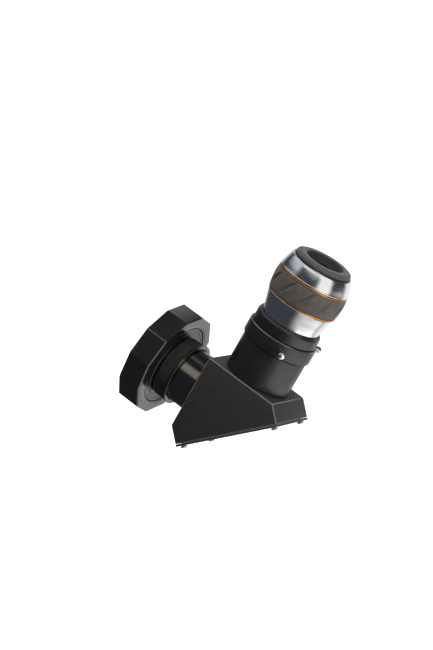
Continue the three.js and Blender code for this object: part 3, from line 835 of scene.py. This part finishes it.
def make_eyepiece_body():
    low, high = eye_span("eyepiece_body")
    cone = spline([(26.1, low + 0.7), (26.35, 60.4), (27.35, 65), (28.45, 69), (29.5, 73), (30.25, 75.6)])
    outline = [
        (24.3, low), (25.4, low), (26.0, low + 0.1, 0.1), *cone,
        (30.45, 76.1), (30.3, 76.35), (SEAT_R, 76.35), (SEAT_R, high), (24.3, high),
    ]
    turned_piece("eyepiece_body", "eyepiece", "polished_silver", SILVER, EYE, outline, sides=256)


def make_accent_rings():
    rings = (("accent_ring_lower", 30.75, 31.0, 31.0), ("accent_ring_upper", 31.4, 31.4, 31.1))
    for node, lower, waist, upper in rings:
        low, high = eye_span(node)
        middle = (low + high) / 2
        outline = [(SLEEVE_BORE_R, low), (lower, low, 0.3), (waist, middle),
                  (upper, high, 0.3), (SLEEVE_BORE_R, high)]
        turned_piece(node, "eyepiece", "orange_anodised", ORANGE, EYE, outline, sides=256)


def make_grip():
    low, high = eye_span("grip_sleeve")
    skin = spline([(31.05, low + 0.25), (31.45, 81.0), (31.85, 84.5), (32.1, 88.6), (31.95, 92.4),
                   (31.6, 95.2), (31.35, high - 0.25)], 9)
    outline = [(SLEEVE_BORE_R, low), (30.8, low), *skin, (31.1, high), (SLEEVE_BORE_R, high)]
    turned_piece("grip_sleeve", "eyepiece", "rubber_grip", GRIP, EYE, outline, sides=GROOVES * 64,
                 shape=grooved)


def make_optics():
    low, high = eye_span("optics_tube")
    tube = [
        (18.9, low), (OPTICS_R, low, 0.3), (OPTICS_R, 96.0, 0.2), (NECK_R, 96.0),
        (NECK_R, high, 0.3),
        (15.4, high), (14.6, 106.8, 0.1), (14.1, 106.8, 0.1), (EYE_LIP_R, 106.0, 0.2),
        (EYE_LIP_R, 104.6, 0.1),
        (18.9, 104.6),
    ]
    turned_piece("optics_tube", "eyepiece", "matte_black_metal", FLAT_BLACK, EYE, tube)
    low, high = eye_span("field_stop_ring")
    stop = [
        (STOP_R, low + 1.0, 0.1), (STOP_R + 1.2, low, 0.1), (LENS_R, low, 0.2),
        (LENS_R, high, 0.2), (STOP_R, high, 0.1),
    ]
    turned_piece("field_stop_ring", "eyepiece", "matte_black_metal", FLAT_BLACK, EYE, stop)
    for node in ("lens_spacer_lower", "lens_spacer_upper"):
        low, high = eye_span(node)
        sleeve = [*ridges(SPACER_BORE_R, high, low, 0.9, -0.3), (LENS_R, low, 0.2), (LENS_R, high, 0.2)]
        turned_piece(node, "eyepiece", "matte_black_metal", FLAT_BLACK, EYE, sleeve)
    lenses = {"field_lens": (73.5, 77.0, 1.5, 1.5), "middle_lens": (86.3, 89.5, -1.0, 2.0),
              "eye_lens": (97.3, 102.5, 1.5, 1.5)}
    steps = 14
    for node, (low, high, low_sag, high_sag) in lenses.items():
        curve = [i / steps for i in range(steps + 1)]
        below = [(LENS_CURVE_R * t, low - low_sag * (1 - t * t)) for t in curve]
        above = [(LENS_CURVE_R * t, high + high_sag * (1 - t * t)) for t in reversed(curve)]
        rim = [(LENS_R, low, 0.2), (LENS_R, high, 0.2)]
        turned_piece(node, "eyepiece", "coated_glass", GLASS, EYE, [*below, *rim, *above], sides=128)


def make_twist_collar():
    low, high = eye_span("twist_collar")
    skin = spline([(30.75, low + 1.25), (30.35, 101.6), (29.7, 104.2), (28.85, 106.9), (28.0, 109.3),
                   (27.3, high - 0.9)])
    outline = [
        (COLLAR_FLANGE_R, low), (30.6, low), (31.1, low, 0.2), (31.2, low + 0.5, 0.25),
        (31.05, low + 0.95, 0.15),
        *skin, (27.0, high - 0.35), (26.5, high, 0.25), (25.6, high, 0.15),
        (COLLAR_BORE_R, high - 0.4), (COLLAR_BORE_R, COLLAR_FLANGE_H, 0.3),
        (COLLAR_FLANGE_R, COLLAR_FLANGE_H, 0.2),
    ]
    turned_piece("twist_collar", "twist_collar", "polished_silver", SILVER, EYE, outline, sides=256)


def make_eyecup():
    low, high = eye_span("eyecup_carrier")
    carrier = [
        (CARRIER_BORE_R, low, 0.2), (CUP_R, low, 0.3), (CUP_R, high, 0.2),
        (CARRIER_LIP_R, high, 0.2), (CARRIER_LIP_R, 110.9, 0.1), (CARRIER_BORE_R, 110.9, 0.3),
    ]
    turned_piece("eyecup_carrier", "eyecup", "matte_black_metal", FLAT_BLACK, EYE, carrier)
    low, high = eye_span("eyecup")
    base = 112.4
    cup = [
        (17.6, base, 0.3), (CUP_R, base, 0.2), (CUP_R, 114.6, 0.5), (24.4, 115.2, 0.3),
        (23.9, 115.3, 0.1),
        (23.6, 114.95, 0.12), (23.25, 115.0, 0.12), (22.9, 115.85, 0.3), (20.8, high, 0.6),
        (17.7, high - 0.2, 0.25), (17.2, high - 0.7, 0.2), (16.5, 113.2, 0.6), (15.8, 110.6, 0.4),
        (14.9, low, 0.3), (16.4, low, 0.3), (17.0, 111.0, 0.3),
    ]
    rubber = turned_piece("eyecup", "eyecup", "rubber_eyecup", CUP, EYE, cup, sides=256)
    # The inner wall of the opening gets the darker rubber: painted shade in the recess.
    accent(rubber, EYE, CUP_PAINTED_SHADE, lambda r, h: r < 17.15 and h < 115.3)


# ---- Studio ---------------------------------------------------------------------------------
CAMERA_AZIMUTH = math.radians(-68.334)
CAMERA_ELEVATION = math.radians(17.282)
CAMERA_ROLL = math.radians(29.473)
CAMERA_DISTANCE = 1.68545
CAMERA_LENS = 111.52
CAMERA_TARGET = Vector((0, -0.073, 0.030))
CAMERA_SLIDE = Vector((-0.016905, 0.037536))
FLOOR_Z = -0.30


def make_camera():
    across, up = math.sin(CAMERA_AZIMUTH), math.cos(CAMERA_AZIMUTH)
    level = math.cos(CAMERA_ELEVATION)
    back = Vector((across * level, -up * level, math.sin(CAMERA_ELEVATION)))
    right = Vector((0, 0, 1)).cross(back).normalized()
    top = back.cross(right)
    turned_right = right * math.cos(CAMERA_ROLL) + top * math.sin(CAMERA_ROLL)
    turned_top = top * math.cos(CAMERA_ROLL) - right * math.sin(CAMERA_ROLL)
    slide = turned_right * CAMERA_SLIDE.x + turned_top * CAMERA_SLIDE.y
    place = CAMERA_TARGET + slide + back * CAMERA_DISTANCE
    camera = bpy.data.cameras.new("camera")
    camera.lens = CAMERA_LENS
    camera.sensor_width = 36.0
    camera.clip_start = 0.05
    camera.clip_end = 100.0
    holder = bpy.data.objects.new("camera", camera)
    bpy.context.collection.objects.link(holder)
    axes = Matrix((turned_right, turned_top, back)).transposed()
    holder.matrix_world = Matrix.Translation(place) @ axes.to_4x4()
    bpy.context.scene.camera = holder


def make_floor():
    made, tree, surface = shader("floor", 0.9)
    surface.inputs["Base Color"].default_value = (0.9, 0.9, 0.9, 1)
    surface.inputs["Emission Color"].default_value = (1, 1, 1, 1)
    surface.inputs["Emission Strength"].default_value = 0.9
    size = 12.0
    mesh = bpy.data.meshes.new("floor")
    corners = [(x, y, FLOOR_Z) for x, y in ((-size, -size), (size, -size), (size, size), (-size, size))]
    mesh.from_pydata(corners, [], [(0, 1, 2, 3)])
    mesh.materials.append(made)
    floor = bpy.data.objects.new("floor", mesh)
    bpy.context.collection.objects.link(floor)
    floor.visible_glossy = False
    floor.visible_diffuse = False


# Studio panels: (low and high bearing, low and high elevation, softness, strength, colour), in degrees.
# Bearing 0 is over the camera's azimuth and grows to its right.
PANELS = [
    (-125, -62, 8, 48, 9, 0.55, (0.88, 0.95, 1.0)),
    (-64, 18, 25, 52, 5, 0.75, (1.0, 0.98, 0.93)),
    (16, 60, -6, 52, 8, 0.95, (1.0, 0.98, 0.95)),
    (34, 112, -36, 0, 12, 1.2, (1.0, 0.95, 0.9)),
    (14, 110, -80, -30, 22, 0.62, (1.0, 0.97, 0.94)),
    (120, 180, -40, 24, 12, 0.9, (1.0, 0.99, 0.97)),
    (-180, -145, -20, 40, 12, 0.6, (1.0, 0.99, 0.97)),
    (-180, 180, 80, 95, 8, 0.9, (0.97, 0.98, 1.0)),
]
AMBIENT = (0.046, 0.052, 0.062)


def window(tree, value, low, high, soft):
    rise = smooth_step(tree, value, low - soft, low + soft)
    fall = smooth_step(tree, value, high - soft, high + soft, 1.0, 0.0)
    return maths(tree, "MULTIPLY", rise, fall)


def make_studio():
    world = bpy.data.worlds.new("studio")
    bpy.context.scene.world = world
    world.use_nodes = True
    tree = world.node_tree
    tree.nodes.clear()
    direction = tree.nodes.new("ShaderNodeTexCoord").outputs["Generated"]
    towards = (math.sin(CAMERA_AZIMUTH), -math.cos(CAMERA_AZIMUTH), 0)
    rightwards = (math.cos(CAMERA_AZIMUTH), math.sin(CAMERA_AZIMUTH), 0)

    def dot(vector):
        node = add(tree, "ShaderNodeVectorMath", i0=direction, i1=vector)
        node.operation = "DOT_PRODUCT"
        return node.outputs["Value"]

    bearing = maths(tree, "DEGREES", maths(tree, "ARCTAN2", dot(rightwards), dot(towards)))
    elevation = maths(tree, "DEGREES", maths(tree, "ARCSINE", dot((0, 0, 1))))
    total = None
    for low, high, bottom, top, soft, strength, color in PANELS:
        if high - low >= 360:
            shine = window(tree, elevation, bottom, top, soft)
        else:
            shine = maths(tree, "MULTIPLY", window(tree, bearing, low, high, soft),
                          window(tree, elevation, bottom, top, soft))
        scaled = add(tree, "ShaderNodeVectorMath", i0=tuple(channel * strength for channel in color))
        scaled.operation = "SCALE"
        link(tree, shine, scaled.inputs["Scale"])
        if total is None:
            total = scaled.outputs[0]
        else:
            joined = add(tree, "ShaderNodeVectorMath", i0=total, i1=scaled.outputs[0])
            joined.operation = "ADD"
            total = joined.outputs[0]
    lit = add(tree, "ShaderNodeVectorMath", i0=total, i1=AMBIENT)
    lit.operation = "ADD"
    studio = add(tree, "ShaderNodeBackground", Color=lit.outputs[0])
    backdrop = add(tree, "ShaderNodeBackground", Color=(1, 1, 1, 1))
    ray = tree.nodes.new("ShaderNodeLightPath").outputs["Is Camera Ray"]
    mixed = add(tree, "ShaderNodeMixShader", i0=ray, i1=studio.outputs[0], i2=backdrop.outputs[0])
    output = tree.nodes.new("ShaderNodeOutputWorld")
    link(tree, mixed.outputs[0], output.inputs["Surface"])


# Soft lamps, aimed at the part: place, size and power.
LAMPS = [
    ((-0.50, 0.14, 0.97), 0.7, 8.5),
    ((-0.15, -1.10, 0.35), 0.6, 4.0),
    ((0.80, 0.70, 0.50), 0.7, 3.0),
]


def make_lights():
    """Large soft lamps above the camera's left, at its right and behind the part."""
    for i, (place, size, power) in enumerate(LAMPS):
        lamp = bpy.data.lights.new(f"softbox_{i}", "AREA")
        lamp.size = size
        lamp.energy = power
        holder = bpy.data.objects.new(lamp.name, lamp)
        bpy.context.collection.objects.link(holder)
        holder.location = place
        aim = CAMERA_TARGET - holder.location
        holder.rotation_euler = aim.to_track_quat("-Z", "Y").to_euler()
        holder.visible_camera = False
        holder.visible_glossy = False


make_camera()
make_floor()
make_studio()
make_lights()
bpy.context.scene.view_settings.view_transform = "Standard"

make_lock_ring()
make_adapter()
make_coupling_ring()
make_nose()
make_housing()
make_cover()
make_cover_screws()
make_mirror()
make_holder()
make_thumbscrews()
make_eyepiece_barrel()
make_eyepiece_body()
make_accent_rings()
make_grip()
make_optics()
make_twist_collar()
make_eyecup()
